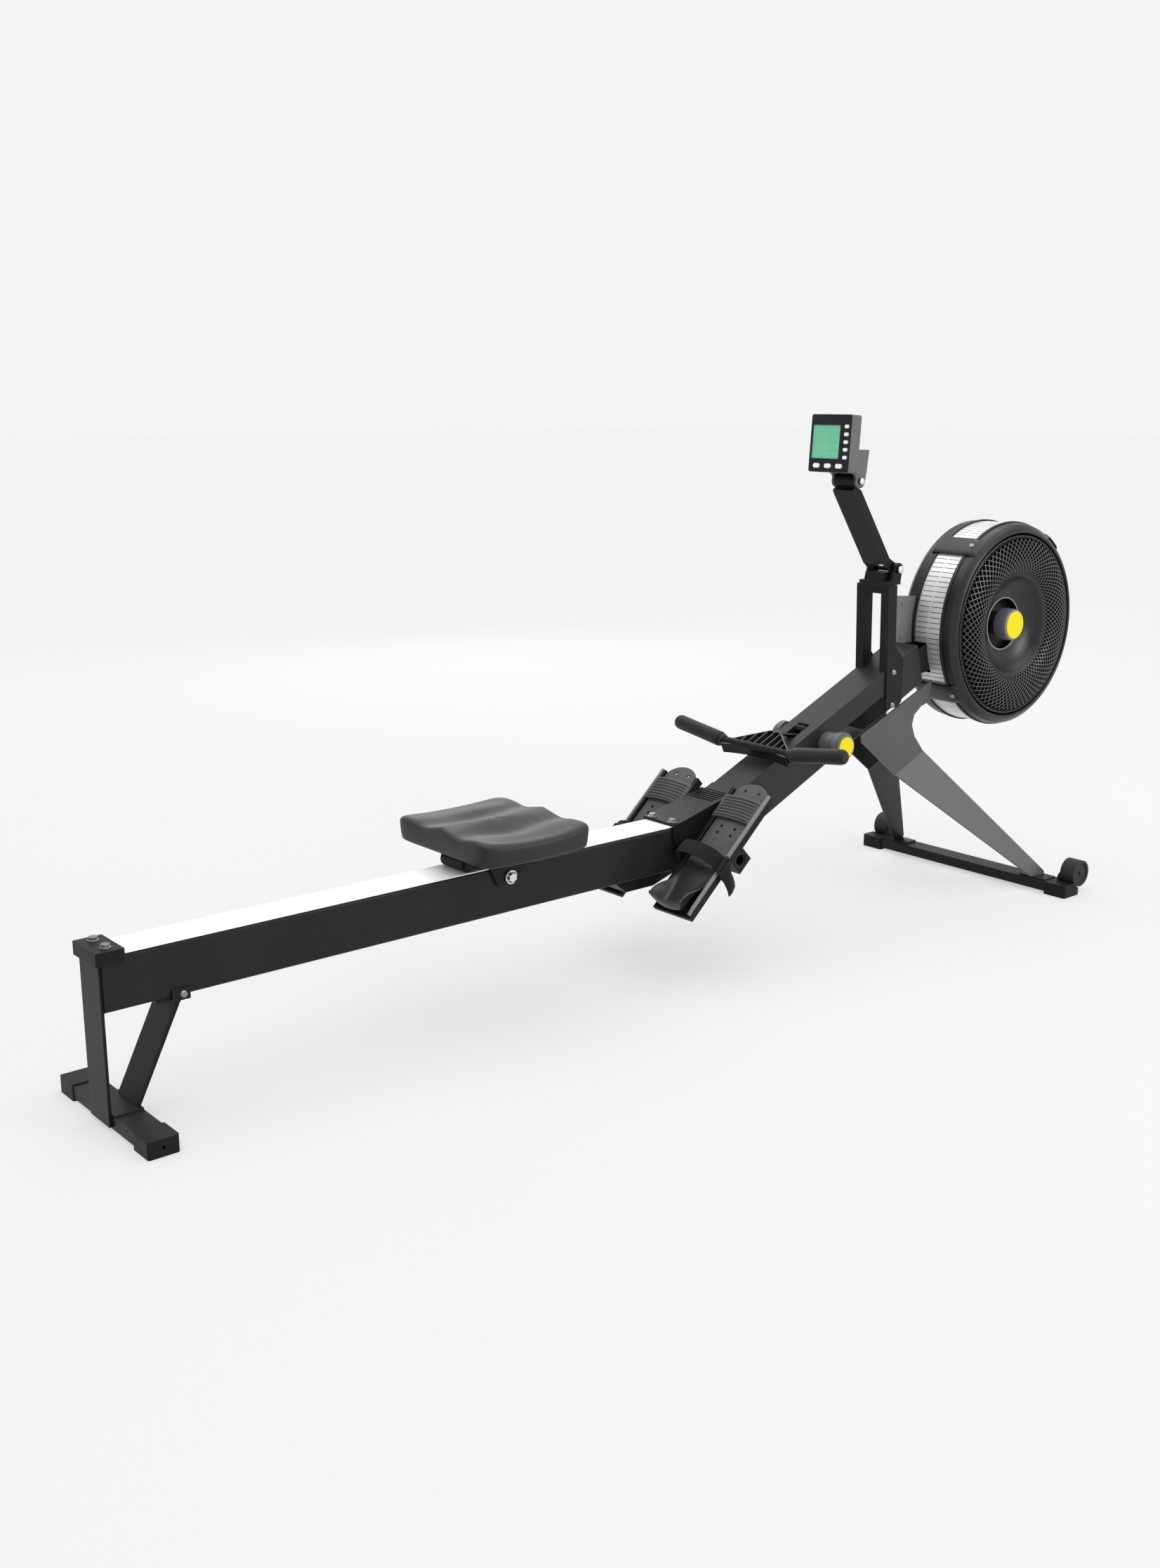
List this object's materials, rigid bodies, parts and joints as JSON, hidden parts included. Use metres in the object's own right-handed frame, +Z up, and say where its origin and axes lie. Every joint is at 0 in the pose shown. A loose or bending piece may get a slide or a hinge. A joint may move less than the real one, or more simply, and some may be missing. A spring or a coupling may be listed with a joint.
{
  "type": "rowing machine",
  "caption": "Indoor air-resistance rower: sliding seat on a long rail, angled footrests, strap-pulled handle, caged fan wheel and a tilting monitor.",
  "frame": {"origin": "centre of the footprint on the floor, under the bounding box", "axes": "+X from the rear foot towards the fan wheel, +Z up, +Y to the rower's left"},
  "size_m": [2.413, 0.584, 1.0619],
  "materials": {
    "frame_paint": "satin powder coat, near black",
    "leg_paint": "satin powder coat, charcoal",
    "bracket_paint": "light grey powder coat",
    "rail_black": "matt black anodised extrusion",
    "steel_strip": "fine lengthwise brush, light wear",
    "bright_steel": "bright zinc plate",
    "black_plastic": "fine-grained moulded plastic",
    "grey_plastic": "smooth lilac-grey plastic",
    "peg_plastic": "smooth charcoal plastic",
    "yellow_plastic": "smooth yellow plastic",
    "band_steel": "perforated stainless sheet",
    "tread": "ribbed rubber",
    "grip": "matt moulded rubber",
    "seat_skin": "soft grained skin over foam",
    "webbing": "woven nylon webbing",
    "cord": "braided elastic cord",
    "fan_metal": "plain mill finish",
    "screen": "green display behind a clear window",
    "button_white": "white moulded keys",
    "wheel_tread": "solid black tyre"
  },
  "bodies": {
    "frame": {"rear_foot_bar": "frame_paint", "rear_foot_caps": "black_plastic", "rear_post": "frame_paint", "rear_brace": "frame_paint", "rail": "rail_black", "rail_top_strip": "steel_strip", "rail_end_cap": "black_plastic", "hex_bolts": "bright_steel", "front_bracket": "black_plastic", "beam": "frame_paint", "leg_left": "leg_paint", "leg_right": "leg_paint", "front_foot_bar": "frame_paint", "front_foot_caps": "black_plastic", "tower": "black_plastic", "tower_head": "black_plastic", "dome_screws": "bright_steel", "wheel_brackets": "bracket_paint", "axle_bearings": "bright_steel", "housing_left": "black_plastic", "housing_band": "band_steel", "housing_right": "black_plastic", "intake_grille": "black_plastic", "housing_clamps": "black_plastic", "foot_cross_tube": "frame_paint", "foot_bases": "black_plastic", "toe_pads": "tread", "foot_straps": "webbing", "peg_bar": "peg_plastic", "peg_caps": "yellow_plastic", "return_cord": "cord"},
    "guide_roller": {"guide_roller": "bright_steel"},
    "flywheel": {"fan": "fan_metal", "wheel_axle": "bright_steel", "hub_cover": "grey_plastic", "hub_disc": "yellow_plastic"},
    "drum": {"drive_drum": "black_plastic"},
    "handle": {"handle_bar": "bright_steel", "handle_grips": "grip", "handle_yoke": "black_plastic", "drive_strap": "webbing"},
    "seat": {"seat_cushion": "seat_skin", "seat_carriage": "frame_paint"},
    "seat_roller_front": {"seat_roller_front": "grey_plastic"},
    "seat_roller_rear": {"seat_roller_rear": "grey_plastic"},
    "heel_left": {"heel_slider_left": "black_plastic"},
    "heel_right": {"heel_slider_right": "black_plastic"},
    "transport_left": {"transport_wheel_left": "wheel_tread"},
    "transport_right": {"transport_wheel_right": "wheel_tread"},
    "arm": {"monitor_arm": "frame_paint"},
    "monitor": {"monitor_case": "black_plastic", "monitor_screen": "screen"},
    "side_button_1": {"side_button_1": "button_white"},
    "side_button_2": {"side_button_2": "button_white"},
    "side_button_3": {"side_button_3": "button_white"},
    "side_button_4": {"side_button_4": "button_white"},
    "side_button_5": {"side_button_5": "button_white"},
    "front_button_1": {"front_button_1": "button_white"},
    "front_button_2": {"front_button_2": "button_white"},
    "front_button_3": {"front_button_3": "button_white"}
  },
  "joints": [
    {"name": "seat_slide", "type": "slide", "parent": "frame", "child": "seat", "axis": [1, 0, 0], "range_m": [-0.61, 0.285]},
    {"name": "seat_roller_front_spin", "type": "hinge", "parent": "seat", "child": "seat_roller_front", "pos_m": [-0.3525, 0, 0.297], "axis": [0, 1, 0], "continuous": true},
    {"name": "seat_roller_rear_spin", "type": "hinge", "parent": "seat", "child": "seat_roller_rear", "pos_m": [-0.5165, 0, 0.297], "axis": [0, 1, 0], "continuous": true},
    {"name": "handle_pull", "type": "slide", "parent": "frame", "child": "handle", "axis": [-0.9903, 0, 0.1392], "range_m": [0, 1.15], "stiffness_N_per_m": 12, "springref_m": -1, "deforming": ["drive_strap"]},
    {"name": "guide_roller_spin", "type": "hinge", "parent": "frame", "child": "guide_roller", "pos_m": [0.3755, 0, 0.417], "axis": [0, 1, 0], "continuous": true},
    {"name": "drum_spin", "type": "hinge", "parent": "frame", "child": "drum", "pos_m": [0.9785, 0, 0.593], "axis": [0, 1, 0], "continuous": true},
    {"name": "flywheel_spin", "type": "hinge", "parent": "frame", "child": "flywheel", "pos_m": [0.9785, 0, 0.593], "axis": [0, 1, 0], "continuous": true},
    {"name": "transport_left_spin", "type": "hinge", "parent": "frame", "child": "transport_left", "pos_m": [1.0065, 0.268, 0.046], "axis": [0, 1, 0], "continuous": true},
    {"name": "transport_right_spin", "type": "hinge", "parent": "frame", "child": "transport_right", "pos_m": [1.0065, -0.268, 0.046], "axis": [0, 1, 0], "continuous": true},
    {"name": "heel_left_slide", "type": "slide", "parent": "frame", "child": "heel_left", "axis": [0.7349, 0, 0.6782], "range_m": [0, 0.06]},
    {"name": "heel_right_slide", "type": "slide", "parent": "frame", "child": "heel_right", "axis": [0.7349, 0, 0.6782], "range_m": [0, 0.06]},
    {"name": "arm_tilt", "type": "hinge", "parent": "frame", "child": "arm", "pos_m": [0.6225, 0, 0.738], "axis": [0, 1, 0], "range_deg": [-30, 28]},
    {"name": "monitor_tilt", "type": "hinge", "parent": "arm", "child": "monitor", "pos_m": [0.4925, 0, 0.927], "axis": [0, 1, 0], "range_deg": [-15, 15]},
    {"name": "side_button_1_press", "type": "slide", "parent": "monitor", "child": "side_button_1", "axis": [0.9976, 0, -0.0698], "range_m": [0, 0.0015], "stiffness_N_per_m": 200},
    {"name": "side_button_2_press", "type": "slide", "parent": "monitor", "child": "side_button_2", "axis": [0.9976, 0, -0.0698], "range_m": [0, 0.0015], "stiffness_N_per_m": 200},
    {"name": "side_button_3_press", "type": "slide", "parent": "monitor", "child": "side_button_3", "axis": [0.9976, 0, -0.0698], "range_m": [0, 0.0015], "stiffness_N_per_m": 200},
    {"name": "side_button_4_press", "type": "slide", "parent": "monitor", "child": "side_button_4", "axis": [0.9976, 0, -0.0698], "range_m": [0, 0.0015], "stiffness_N_per_m": 200},
    {"name": "side_button_5_press", "type": "slide", "parent": "monitor", "child": "side_button_5", "axis": [0.9976, 0, -0.0698], "range_m": [0, 0.0015], "stiffness_N_per_m": 200},
    {"name": "front_button_1_press", "type": "slide", "parent": "monitor", "child": "front_button_1", "axis": [0.9976, 0, -0.0698], "range_m": [0, 0.0015], "stiffness_N_per_m": 200},
    {"name": "front_button_2_press", "type": "slide", "parent": "monitor", "child": "front_button_2", "axis": [0.9976, 0, -0.0698], "range_m": [0, 0.0015], "stiffness_N_per_m": 200},
    {"name": "front_button_3_press", "type": "slide", "parent": "monitor", "child": "front_button_3", "axis": [0.9976, 0, -0.0698], "range_m": [0, 0.0015], "stiffness_N_per_m": 200}
  ],
  "couplings": [
    {"joint": "seat_roller_front_spin", "follows": "seat_slide", "rad_per_m": 78.74},
    {"joint": "seat_roller_rear_spin", "follows": "seat_slide", "rad_per_m": 78.74},
    {"joint": "guide_roller_spin", "follows": "handle_pull", "rad_per_m": 111.11},
    {"joint": "drum_spin", "follows": "handle_pull", "rad_per_m": -30.3}
  ]
}
